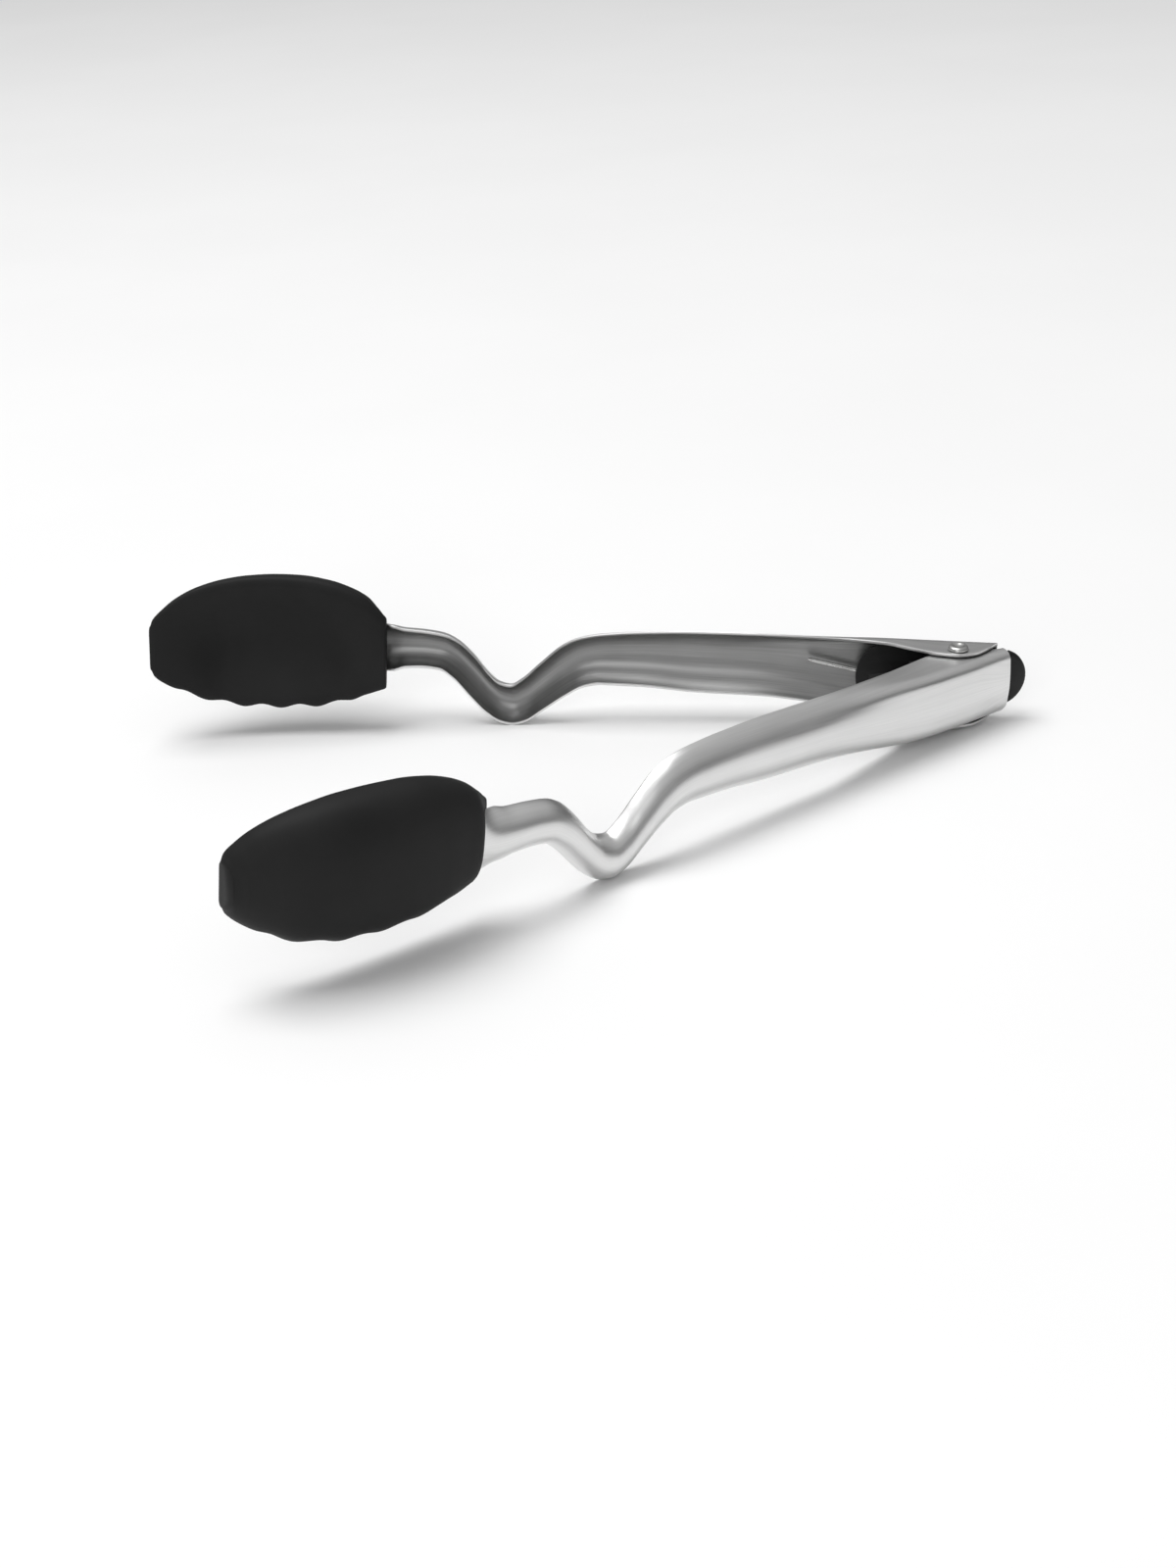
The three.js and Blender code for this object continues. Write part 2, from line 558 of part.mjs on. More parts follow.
/** Slider: two slotted plates joined by posts, and a nose whose two bars catch the inserts' hooks. */
function lockSlider() {
  const half = YOKE_HALF_WIDTH;
  const top = upperYoke + YOKE;
  const tail = BUTTON_THICKNESS / 2;
  const frontPost = block([NOSE.post, -half, lowerYoke], [NOSE.back, half, top]);
  const rearPost = block([TAIL.end, -tail, lowerYoke], [TAIL.back, tail, top]);
  const shelves = [MID_Z + NOSE.gap, MID_Z - NOSE.gap - NOSE.plate].map((z) =>
    block([NOSE.front, -half, z], [NOSE.post + BITE, half, z + NOSE.plate]));
  const reach = NOSE.gap + BITE;
  const bars = [NOSE.inner, -half].map((y) =>
    block([NOSE.bar, y, MID_Z - reach], [NOSE.barEnd, y + half - NOSE.inner, MID_Z + reach]));
  return join(yokePlate(lowerYoke), yokePlate(upperYoke), frontPost, rearPost, ...shelves, ...bars);
}

/** Coin-like button with softened rims, cut flat where it meets the slider's rear post. */
function button() {
  const [r, t] = [BUTTON_RADIUS, BUTTON_THICKNESS / 2];
  const points = [new THREE.Vector2(0, -t)];
  for (let degrees = -90; degrees <= 90; degrees += 30) {
    const turn = degrees * DEG;
    points.push(new THREE.Vector2(r - BUTTON_SOFT * (1 - Math.cos(turn)), t * Math.sin(turn)));
  }
  points.push(new THREE.Vector2(0, t));
  const disc = new THREE.LatheGeometry(points, 48).translate(BUTTON_CENTRE_X, 0, MID_Z + BUTTON_RISE);
  const front = block([0, -r, 0], [TAIL.back + GAP, r, TALL]);
  const above = block([0, -r, MID_Z + BUTTON_NECK], [BUTTON_SHOULDER_X, r, TALL]);
  const below = block([0, -r, 0], [BUTTON_SHOULDER_X, r, MID_Z - BUTTON_NECK]);
  return cut(disc, front, above, below);
}

// ---------------------------------------------------------------- assembly

const far = new THREE.Group();
far.rotation.z = -HALF_OPEN;
far.add(piece('far_arm', armSheet(ARM_SHAPES.far), steel));
far.add(piece('far_head', headSkin(ARM_SHAPES.far), silicone));
const farInsert = insert(FLANGE_TOP_FAR - SHEET - GAP, FLANGE_LOW_FAR + SHEET + 2 * GAP, INSERT_CHAMFER.far);
far.add(piece('far_insert', farInsert, nylon));

const near = new THREE.Group();
near.rotation.z = HALF_OPEN;
near.add(piece('near_arm', mirrored(armSheet(ARM_SHAPES.near)), steel));
near.add(piece('near_head', mirrored(headSkin(ARM_SHAPES.near)), silicone));
const nearInsert = insert(inside.high - GAP, inside.low + 3 * GAP, INSERT_CHAMFER.near);
near.add(piece('near_insert', mirrored(nearInsert), nylon));

const pivot = new THREE.Group();
pivot.add(piece('pivot_rivet', rivet(), steel));
pivot.add(piece('pivot_sleeve', ring(PIN_RADIUS + GAP, SLEEVE_RADIUS, sleeve.low, sleeve.high), nylon));
for (const [name, z] of [['upper_washer', upperWasher], ['lower_washer', lowerWasher]]) {
  pivot.add(piece(name, ring(PIN_RADIUS + GAP, WASHER_RADIUS, z, z + WASHER), nylon));
}
pivot.add(piece('torsion_spring', torsionSpring(), springSteel));

const lock = new THREE.Group();
lock.add(piece('lock_slider', lockSlider(), nylon));
lock.add(piece('push_button', button(), nylon));

const pivotFrame = new THREE.Group();
pivotFrame.add(far, near, pivot, lock);
pivotFrame.rotation.y = REST_TILT;

const tongs = new THREE.Group();
tongs.add(pivotFrame);
tongs.updateMatrixWorld(true);
const extent = new THREE.Box3().setFromObject(pivotFrame, true);
pivotFrame.position.set(-(extent.min.x + extent.max.x) / 2, 0, -extent.min.z);
tongs.updateMatrixWorld(true);

export default tongs;
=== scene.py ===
"""Spring loaded kitchen tongs, lying open on a pale bench.

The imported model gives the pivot, the bodies and every piece's place. Each visible piece is rebuilt here as a
smooth mesh over the same surfaces: an arm is a pressed channel swept along its stations, a head is a spoon
swept from the neck to the tip. Stations s, depths v and heights z are millimetres in an arm's own frame, with
s counted ahead of the pin, v outward from the arm's mid-line and z along the pin.
"""

import json
import logging
import math
from dataclasses import dataclass, field
from enum import Enum
from typing import Callable, Sequence

import bmesh
import bpy
from mathutils import Matrix, Vector
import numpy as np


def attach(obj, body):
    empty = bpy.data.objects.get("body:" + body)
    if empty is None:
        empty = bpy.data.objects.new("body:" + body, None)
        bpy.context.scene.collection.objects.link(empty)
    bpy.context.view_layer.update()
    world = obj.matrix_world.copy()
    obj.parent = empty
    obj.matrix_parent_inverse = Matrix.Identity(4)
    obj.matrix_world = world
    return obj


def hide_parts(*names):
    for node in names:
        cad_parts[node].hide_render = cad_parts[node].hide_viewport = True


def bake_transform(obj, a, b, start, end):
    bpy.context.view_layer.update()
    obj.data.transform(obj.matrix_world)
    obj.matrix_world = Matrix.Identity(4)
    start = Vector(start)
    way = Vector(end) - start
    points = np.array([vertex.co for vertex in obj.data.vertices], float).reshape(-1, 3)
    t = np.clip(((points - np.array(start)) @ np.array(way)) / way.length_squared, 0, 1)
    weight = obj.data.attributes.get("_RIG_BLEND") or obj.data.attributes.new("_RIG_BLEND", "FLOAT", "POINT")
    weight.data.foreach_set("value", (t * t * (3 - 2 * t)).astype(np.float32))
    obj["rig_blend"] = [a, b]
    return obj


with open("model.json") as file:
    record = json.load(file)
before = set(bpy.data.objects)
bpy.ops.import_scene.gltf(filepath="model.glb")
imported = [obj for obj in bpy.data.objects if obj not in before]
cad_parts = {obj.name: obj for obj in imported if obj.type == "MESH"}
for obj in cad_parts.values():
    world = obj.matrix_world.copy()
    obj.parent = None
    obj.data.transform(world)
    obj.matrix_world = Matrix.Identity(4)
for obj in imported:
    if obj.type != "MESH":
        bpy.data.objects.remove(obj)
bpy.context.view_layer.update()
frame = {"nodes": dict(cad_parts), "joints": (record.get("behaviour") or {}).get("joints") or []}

log = logging.getLogger("tongs")
MM = 0.001
CREASE, SOFTENED_CREASE, TURNED_CREASE, WIRE_CREASE = 38, 40, 42, 50  # degrees between faces kept crisp
Point2 = tuple[float, float]
Colour = tuple[float, float, float]


class Side(Enum):
    """Which arm a piece belongs to; the value is the sign of its depth axis."""

    FAR = 1
    NEAR = -1

    @property
    def word(self) -> str:
        """Prefix of the side's piece names."""
        return self.name.lower()

    @property
    def body(self) -> str:
        """Name of the CAD body that the side's pieces ride on."""
        return f"{self.word}_side"


# ---------------------------------------------------------------- shader writing


class Socket:
    """A shader value that can be written in arithmetic; each operator adds one Math node."""

    def __init__(self, graph: "Graph", link: bpy.types.NodeSocket) -> None:
        """Wrap an output socket.

        Args:
            graph: the node tree that the socket is in.
            link: the output socket.
        """
        self.graph = graph
        self.link = link

    def _math(self, operation: str, first: object, second: object) -> "Socket":
        """Return a Math node's value for two operands."""
        return self.graph.node("ShaderNodeMath", {"operation": operation}, {0: first, 1: second})

    def __add__(self, other: object) -> "Socket":
        """Sum."""
        return self._math("ADD", self, other)

    __radd__ = __add__

    def __mul__(self, other: object) -> "Socket":
        """Product."""
        return self._math("MULTIPLY", self, other)

    __rmul__ = __mul__

    def __sub__(self, other: object) -> "Socket":
        """Difference."""
        return self._math("SUBTRACT", self, other)

    def __rsub__(self, other: object) -> "Socket":
        """Difference, the other way round."""
        return self._math("SUBTRACT", other, self)

    def between(self, low: float, high: float) -> "Socket":
        """Return 0 below low, 1 above high and a smooth step in between."""
        sockets = {"Value": self, "From Min": low, "From Max": high}
        return self.graph.node("ShaderNodeMapRange", {"interpolation_type": "SMOOTHSTEP"}, sockets)


class Graph:
    """A material's or a world's node tree, with one method that adds any node."""

    def __init__(self, owner: bpy.types.Material | bpy.types.World) -> None:
        """Empty the owner's node tree.

        Args:
            owner: the material or world to fill.
        """
        owner.use_nodes = True
        self.owner = owner
        self.tree = owner.node_tree
        self.tree.nodes.clear()

    def add(
        self, kind: str, settings: dict[str, object] | None, sockets: dict[object, object] | None
    ) -> bpy.types.Node:
        """Add a node.

        Args:
            kind: the node's Blender type.
            settings: attributes, set before the sockets are filled; "stops" are a ramp's two.
            sockets: input name or index to a number, a tuple or a Socket.

        Returns:
            The node.
        """
        made = self.tree.nodes.new(kind)
        for name, value in (settings or {}).items():
            if name == "stops":
                for stop, (position, colour) in zip(made.color_ramp.elements, value):
                    stop.position, stop.color = position, (*colour, 1.0)
            else:
                setattr(made, name, value)
        for key, value in (sockets or {}).items():
            if isinstance(value, Socket):
                self.tree.links.new(value.link, made.inputs[key])
            else:
                made.inputs[key].default_value = value
        return made

    def node(
        self,
        kind: str,
        settings: dict[str, object] | None = None,
        sockets: dict[object, object] | None = None,
        output: object = 0,
    ) -> Socket:
        """Add a node and return one of its outputs.

        Args:
            kind: the node's Blender type.
            settings: as for add.
            sockets: as for add.
            output: name or index of the output to return.

        Returns:
            The chosen output.
        """
        return Socket(self, self.add(kind, settings, sockets).outputs[output])

    def attribute(self, name: str, output: str = "Vector") -> Socket:
        """Return a mesh attribute, as a vector or as a number ("Fac")."""
        return self.node("ShaderNodeAttribute", {"attribute_name": name}, output=output)

    def stretched(self, vector: Socket, scale: tuple[float, float, float]) -> Socket:
        """Return a vector with each part multiplied by its own scale."""
        return self.node("ShaderNodeVectorMath", {"operation": "MULTIPLY"}, {0: vector, 1: scale})

    def noise(self, vector: Socket, scale: float, detail: float = 3.0, roughness: float = 0.5) -> Socket:
        """Return a noise value from 0 to 1, about 0.5 on the whole."""
        sockets = {"Vector": vector, "Scale": scale, "Detail": detail, "Roughness": roughness}
        return self.node("ShaderNodeTexNoise", {}, sockets, "Fac")

    def blend(self, factor: Socket, first: "Colour | Socket", second: "Colour | Socket") -> Socket:
        """Return a colour between two, by a factor."""
        ends = [end if isinstance(end, Socket) else (*end, 1.0) for end in (first, second)]
        return self.node("ShaderNodeMix", {"data_type": "RGBA"}, {0: factor, 6: ends[0], 7: ends[1]}, 2)

    def bump(self, height: Socket, depth_mm: float, strength: float = 1.0) -> Socket:
        """Return a normal pushed by a height from 0 to 1, which stands for depth_mm millimetres."""
        sockets = {"Height": height, "Distance": depth_mm * MM, "Strength": strength}
        return self.node("ShaderNodeBump", {}, sockets, "Normal")

    def surface(self, sockets: dict[str, object]) -> bpy.types.Material:
        """Finish the material with one Principled shader.

        Args:
            sockets: the shader's inputs.

        Returns:
            The finished material.
        """
        shader = self.node("ShaderNodeBsdfPrincipled", {}, sockets)
        self.add("ShaderNodeOutputMaterial", {}, {"Surface": shader})
        return self.owner


# ---------------------------------------------------------------- finishes


@dataclass(frozen=True)
class BrushedSteel:
    """Stainless sheet with fine scratches along the arm; its inside is painted darker as shade."""

    light: Colour = (0.8, 0.8, 0.797)
    dark: Colour = (0.66, 0.66, 0.657)
    # Darker copies of the colours above, used on the channel's inside: painted shade.
    shaded_inside_light: Colour = (0.37, 0.37, 0.368)
    shaded_inside_dark: Colour = (0.22, 0.22, 0.219)
    roughness: float = 0.27
    spread: float = 0.1

    def material(self) -> bpy.types.Material:
        """Return the material; it reads the grain attribute, whose first part runs along the brushing, and the
        inside attribute, where it paints darker colours as shade.

        Returns:
            The material.
        """
        graph = Graph(bpy.data.materials.new("brushed_steel"))
        grain = graph.attribute("grain")
        fine = graph.noise(graph.stretched(grain, (0.045, 5.5, 1.0)), 1.0, 4.0, 0.62)
        broad = graph.noise(graph.stretched(grain, (0.02, 0.9, 1.0)), 1.0, 2.0)
        cloud = graph.noise(graph.stretched(grain, (0.05, 0.07, 1.0)), 1.0, 2.0)
        streak = fine * 0.65 + broad * 0.35
        tone = (streak * 0.8 + cloud * 0.2).between(0.25, 0.75)
        # The inside mask picks the darker colours there: painted shade of the channel's hollow, not a
        # different finish.
        inside = graph.attribute("inside", "Fac")
        outer = graph.blend(tone, self.dark, self.light)
        inner = graph.blend(tone, self.shaded_inside_dark, self.shaded_inside_light)
        return graph.surface({
            "Base Color": graph.blend(inside, outer, inner),
            "Metallic": 1.0,
            "Roughness": self.roughness + self.spread * fine.between(0.3, 0.7) + 0.06 * cloud + 0.08 * inside,
            "Normal": graph.bump(fine, 0.006, 0.5),
        })


@dataclass(frozen=True)
class SatinSteel:
    """Turned or drawn steel with a soft grain all over."""

    name: str
    light: Colour = (0.72, 0.72, 0.71)
    dark: Colour = (0.5, 0.5, 0.49)
    roughness: float = 0.26
    grain_scale: float = 900.0

    def material(self) -> bpy.types.Material:
        """Return the material.

        Returns:
            The material.
        """
        graph = Graph(bpy.data.materials.new(self.name))
        place = graph.node("ShaderNodeTexCoord", output="Object")
        grain = graph.noise(place, self.grain_scale, 3.0)
        stain = graph.noise(place, 160.0, 2.0)
        return graph.surface({
            "Base Color": graph.blend(stain.between(0.3, 0.7), self.dark, self.light),
            "Metallic": 1.0,
            "Roughness": self.roughness + 0.12 * grain,
            "Normal": graph.bump(grain, 0.01, 0.4),
        })


@dataclass(frozen=True)
class MattSilicone:
    """Black silicone with a fine blasted skin, faintly paler where it has been handled."""

    deep: Colour = (0.0095, 0.0095, 0.0096)
    pale: Colour = (0.0135, 0.0135, 0.0136)
    roughness: float = 0.55

    def material(self) -> bpy.types.Material:
        """Return the material.

        Returns:
            The material.
        """
        graph = Graph(bpy.data.materials.new("matt_silicone"))
        place = graph.node("ShaderNodeTexCoord", output="Object")
        skin = graph.noise(place, 2600.0, 2.0)
        pores = graph.noise(place, 900.0, 3.0)
        cloud = graph.noise(place, 45.0, 3.0)
        return graph.surface({
            "Base Color": graph.blend(cloud.between(0.3, 0.7), self.deep, self.pale),
            "Roughness": self.roughness + 0.14 * cloud,
            "Specular IOR Level": 0.2,
            "Normal": graph.bump(skin * 0.6 + pores * 0.4, 0.03, 0.3),
        })


@dataclass(frozen=True)
class MouldedNylon:
    """Black moulded nylon with a spark-eroded grain."""

    name: str
    deep: Colour = (0.0035, 0.0035, 0.0036)
    pale: Colour = (0.0065, 0.0065, 0.0067)
    roughness: float = 0.42

    def material(self) -> bpy.types.Material:
        """Return the material.

        Returns:
            The material.
        """
        graph = Graph(bpy.data.materials.new(self.name))
        place = graph.node("ShaderNodeTexCoord", output="Object")
        grain = graph.noise(place, 1800.0, 2.0)
        flow = graph.noise(graph.stretched(place, (1.0, 1.0, 3.0)), 120.0, 3.0)
        return graph.surface({
            "Base Color": graph.blend(flow.between(0.3, 0.7), self.deep, self.pale),
            "Roughness": self.roughness + 0.16 * grain,
            "Specular IOR Level": 0.3,
            "Normal": graph.bump(grain, 0.025, 0.35),
        })


@dataclass(frozen=True)
class PaleBench:
    """White bench top with barely visible mottling."""

    light: Colour = (0.93, 0.93, 0.93)
    dark: Colour = (0.915, 0.915, 0.915)

    def material(self) -> bpy.types.Material:
        """Return the material.

        Returns:
            The material.
        """
        graph = Graph(bpy.data.materials.new("pale_bench"))
        place = graph.node("ShaderNodeTexCoord", output="Object")
        mottle = graph.noise(place, 6.0, 4.0)
        return graph.surface({
            "Base Color": graph.blend(mottle.between(0.3, 0.7), self.dark, self.light),
            "Roughness": 0.9 - 0.05 * mottle,
            "Specular IOR Level": 0.1,
        })


# ---------------------------------------------------------------- curves and lofts


class Profile:
    """Smooth monotone curve through (station, value) pairs, constant beyond both ends."""

    def __init__(self, *pairs: Point2) -> None:
        """Keep the pairs and work out a slope at each.

        Args:
            pairs: stations in rising order, each with its value.
        """
        self.pairs = pairs
        steps = [(b[1] - a[1]) / (b[0] - a[0]) for a, b in zip(pairs, pairs[1:])]
        inner = [0.0 if a * b <= 0 else 2 * a * b / (a + b) for a, b in zip(steps, steps[1:])]
        self.slopes = [0.0, *inner, 0.0]

    def __call__(self, station: float) -> float:
        """Return the value at a station.

        Args:
            station: where along the curve.

        Returns:
            The value there.
        """
        if station <= self.pairs[0][0]:
            return self.pairs[0][1]
        if station >= self.pairs[-1][0]:
            return self.pairs[-1][1]
        i = next(k for k, pair in enumerate(self.pairs) if pair[0] > station) - 1
        (x0, y0), (x1, y1) = self.pairs[i], self.pairs[i + 1]
        width = x1 - x0
        t = (station - x0) / width
        bend = self.slopes[i] * width * t * (1 - t) ** 2 - self.slopes[i + 1] * width * t * t * (1 - t)
        return y0 + (y1 - y0) * t * t * (3 - 2 * t) + bend


def mix(first: float, second: float, t: float) -> float:
    """Return the value a share t of the way from first to second."""
    return first + (second - first) * t


def ease(value: float, low: float, high: float) -> float:
    """Return a smooth step from 0 at low to 1 at high."""
    t = min(1.0, max(0.0, (value - low) / (high - low)))
    return t * t * (3 - 2 * t)


def stations_along(first: float, *spans: Point2) -> list[float]:
    """Return stations from first onward.

    Args:
        first: the first station.
        spans: where each stretch ends, and about how far apart its stations are.

    Returns:
        The stations, in rising order.
    """
    stations = [first]
    for end, step in spans:
        start = stations[-1]
        count = max(1, round((end - start) / step))
        stations += [mix(start, end, (i + 1) / count) for i in range(count)]
    return stations


def offset_curve(curve: Sequence[Point2], out: float, past: float) -> list[Point2]:
    """Return a curve moved along its normals.

    Args:
        curve: the points.
        out: how far outward.
        past: how far each end is carried on.

    Returns:
        The moved points.
    """
    last = len(curve) - 1
    moved = []
    for i, (v, z) in enumerate(curve):
        a, b = curve[max(0, i - 1)], curve[min(last, i + 1)]
        length = math.hypot(b[0] - a[0], b[1] - a[1])
        tv, tz = (b[0] - a[0]) / length, (b[1] - a[1]) / length
        slide = -past if i == 0 else past if i == last else 0.0
        moved.append((v - tz * out + tv * slide, z + tv * out + tz * slide))
    return moved


@dataclass(frozen=True)
class PivotFrame:
    """The pin's frame in the row frame: its origin in metres and its axes."""

    origin: Vector
    x: Vector
    y: Vector
    z: Vector
    half_open: float

    @classmethod
    def from_joints(cls, joints: Sequence[dict], half_open: float) -> "PivotFrame":
        """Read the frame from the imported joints.

        Args:
            joints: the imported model's joints.
            half_open: an arm's swing from the centre plane at rest, in degrees.

        Returns:
            The pin's frame.
        """
        by_name = {joint["name"]: joint for joint in joints}
        hinge = by_name["far_arm_hinge"]
        z = Vector(hinge["axis"]).normalized()
        y = z.cross(Vector(by_name["button_pull"]["axis"])).normalized()
        return cls(Vector(hinge["pos_m"]), y.cross(z), y, z, math.radians(half_open))

    def point(self, x: float, y: float, z: float) -> Vector:
        """Return the row-frame point, in metres, of a pivot-frame point in millimetres."""
        return self.origin + (self.x * x + self.y * y + self.z * z) * MM

    def arm_point(self, side: Side, s: float, v: float, z: float) -> Vector:
        """Return the row-frame point of an arm's station, depth and height in millimetres."""
        c, n = math.cos(self.half_open), math.sin(self.half_open)
        return self.point(-s * c + v * n, side.value * (s * n + v * c), z)

    def matrix(self) -> Matrix:
        """Return the matrix from the pivot frame, in metres, to the row frame."""
        turn = Matrix((self.x, self.y, self.z)).transposed().to_4x4()
        return Matrix.Translation(self.origin) @ turn


def mesh_object(name: str, points: Sequence[Vector], faces: Sequence[Sequence[int]]) -> bpy.types.Object:
    """Make a smooth-shaded mesh object whose faces look outward.

    Args:
        name: the object's name.
        points: its vertices, in metres.
        faces: its faces, as vertex indices.

    Returns:
        The linked object.
    """
    mesh = bpy.data.meshes.new(name)
    mesh.from_pydata([tuple(p) for p in points], [], [tuple(f) for f in faces])
    work = bmesh.new()
    work.from_mesh(mesh)
    bmesh.ops.recalc_face_normals(work, faces=work.faces)
    work.to_mesh(mesh)
    work.free()
    mesh.shade_smooth()
    made = bpy.data.objects.new(name, mesh)
    bpy.context.scene.collection.objects.link(made)
    return made


def loft(name: str, rings: Sequence[Sequence[Vector]]) -> bpy.types.Object:
    """Join rings of the same count into a closed tube with an n-gon at each end.

    Args:
        name: the object's name.
        rings: the sections, in metres.

    Returns:
        The linked object.
    """
    size = len(rings[0])
    faces: list[list[int]] = []
    for r in range(len(rings) - 1):
        for i in range(size):
            a, b = r * size + i, r * size + (i + 1) % size
            faces.append([a, b, b + size, a + size])
    faces.append(list(range(size)))
    faces.append(list(range((len(rings) - 1) * size, len(rings) * size)))
    return mesh_object(name, [p for ring in rings for p in ring], faces)


def sharpen(piece: bpy.types.Object, degrees: float) -> None:
    """Keep edges crisp where faces meet at more than an angle.

    Args:
        piece: the piece.
        degrees: the angle.
    """
    work = bmesh.new()
    work.from_mesh(piece.data)
    for edge in work.edges:
        if len(edge.link_faces) == 2 and edge.calc_face_angle(0.0) > math.radians(degrees):
            edge.smooth = False
    work.to_mesh(piece.data)
    work.free()


def dress(piece: bpy.types.Object, material: bpy.types.Material, slot: str, body: str, *nodes: str) -> None:
    """Give a piece its finish and its body, and hide the CAD nodes it stands for.

    Args:
        piece: the piece.
        material: its finish.
        slot: the record's material slot; not used.
        body: the body it rides on, unless it is blended already.
        nodes: the CAD nodes it stands for.
    """
    piece.data.materials.clear()
    piece.data.materials.append(material)
    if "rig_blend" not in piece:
        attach(piece, body)
    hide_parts(*nodes)
    log.info("%s rides on %s: %d faces", piece.name, body, len(piece.data.polygons))


# ---------------------------------------------------------------- silicone heads


@dataclass
class HeadShape:
    """Surfaces of the spoon-shaped head, which leans and curls in towards the other one at its tip."""

    start: float = 159.6
    end: float = 225.1
    pitch: float = 10.6
    lobe: float = 190.2
    depth: float = 0.55
    power: float = 2.4
    share: float = 0.65
    run: float = 20.0
    top: Profile = field(default_factory=lambda: Profile(
        (159.6, 32), (162, 34.2), (165.5, 37.3), (170, 39.8), (176, 41.8), (184, 43.1), (192, 43.4),
        (199, 43.1), (206, 42.1), (213, 40.2), (218.5, 37.5), (222, 34.7), (224.2, 32.4), (225.1, 30.4),
    ))
    low: Profile = field(default_factory=lambda: Profile(
        (159.6, 11.6), (162, 10.9), (165.5, 9.6), (170, 8.2), (176, 6.5), (184, 5.5), (192, 5.2),
        (199, 5.5), (206, 6.5), (213, 8.6), (218.5, 11.3), (222, 13.7), (224.2, 16), (225.1, 18),
    ))
    rim: Profile = field(default_factory=lambda: Profile(
        (159.6, 0.2), (184, -0.5), (192, -1.1), (199, -2), (206, -3.1), (213, -4.8), (218.5, -6.8),
        (222, -8.4), (225.1, -9.5),
    ))
    bowl: Profile = field(default_factory=lambda: Profile(
        (159.6, 1.5), (162, 4.4), (165.4, 8.8), (170, 9.7), (176, 10.7), (186, 11.6), (199, 11.4),
        (206, 10.8), (213, 9.3), (222, 7), (225.1, 5.6),
    ))
    lean: Profile = field(default_factory=lambda: Profile((159.6, 1.9), (225.1, 0.9)))
    wall: Profile = field(default_factory=lambda: Profile((159.6, 6), (166, 5.6), (176, 5), (225.1, 3.6)))

    def scallop(self, s: float) -> float:
        """Return how far the lower rim's shallow lobes drop.

        Args:
            s: the station.

        Returns:
            The drop in millimetres.
        """
        wave = math.cos(2 * math.pi * (s - self.lobe) / self.pitch)
        fade = ease(s, 164, 170) * (1 - ease(s, 216, 221))
        return self.depth * fade * wave

    def bulge(self, w: float) -> float:
        """Return 1 at the middle of the bowl and 0 at both rims."""
        return max(0.0, 1 - abs(w) ** self.power) ** (1 / self.power)

    def outer(self, s: float, z: float) -> float:
        """Return the outer skin's depth.

        Args:
            s: the station.
            z: the height.

        Returns:
            The depth in millimetres.
        """
        top, low = self.top(s), self.low(s)
        w = (2 * z - top - low) / (top - low)
        return self.rim(s) + self.lean(s) * w + self.bowl(s) * self.bulge(w)

    def ring(self, s: float, inset: float = 0.0) -> list[Point2]:
        """Return one closed section: outer skin, lower rim, dished inner skin, upper rim.

        Args:
            s: the station.
            inset: how far the section is drawn in on all sides, for the softened ends.

        Returns:
            The (v, z) points.
        """
        top, low = self.top(s) - inset, self.low(s) + inset
        middle, half = (top + low) / 2, (top - low) / 2
        rim, lean, bowl = self.rim(s), self.lean(s), self.bowl(s) - inset
        wall = min(self.wall(s), half - 1.5)
        roll = 0.3 * wall - inset * 0.5
        rear = ease(s, self.start, self.start + self.run)
        tip = ease(s, self.end - self.run, self.end - 1)
        dished = self.share * (max(0.0, self.bowl(s) - wall) + roll) * rear * (1 - tip)

        def place(depth: float, w: float) -> Point2:
            """Return a point at a depth in front of the rim, with the lower rim's lobes."""
            drop = self.scallop(s) * max(0.0, -w) ** 10
            return rim + lean * w + depth, middle + half * w - drop

        outer = [math.sin(math.pi / 2 * (1 - 2 * i / 48)) for i in range(49)]
        edge = [math.radians(15 * k) for k in range(1, 6)]
        crest = 1 - wall / 2 / half
        lip = [(-roll * math.sin(a), 1 - (1 - crest) * (1 - math.cos(a))) for a in edge]
        inner = [math.sin(math.pi / 2 * (1 - 2 * i / 32)) for i in range(33)]
        dish = [(dished * (1 - w * w) ** 1.5 - roll, crest * w) for w in inner]
        return [
            *[place(bowl * self.bulge(w), w) for w in outer],
            *[place(depth, -w) for depth, w in lip],
            *[place(depth, w) for depth, w in reversed(dish)],
            *[place(depth, w) for depth, w in reversed(lip)],
        ]


@dataclass
class Head:
    """One silicone head."""

    side: Side
    shape: HeadShape
    place: PivotFrame
    soft: float = 0.8

    def build(self, material: bpy.types.Material) -> None:
        """Sweep the head from the neck to the tip and dress it.

        Args:
            material: The head's silicone.
        """
        stations = stations_along(self.shape.start + 0.02, (163, 0.5), (180, 0.8), (218, 0.75), (222, 0.5),
                                  (self.shape.end - 0.02, 0.22))
        rings = [(s, 0.0) for s in stations]
        rounding = [(self.soft * (1 - math.cos(a)), self.soft * (1 - math.sin(a)))
                    for a in (math.radians(d) for d in (0, 22, 45, 68))]
        rear = [(self.shape.start + along, inset) for along, inset in rounding]
        rings = [*rear, *[r for r in rings if r[0] > self.shape.start + self.soft]]
        placed = [[self.place.arm_point(self.side, s, v, z) for v, z in self.shape.ring(s, inset)]
                  for s, inset in rings]
        piece = loft(f"{self.side.word}_head_skin", placed)
        dress(piece, material, "head_silicone", self.side.body, f"{self.side.word}_head")


# ---------------------------------------------------------------- stainless arms

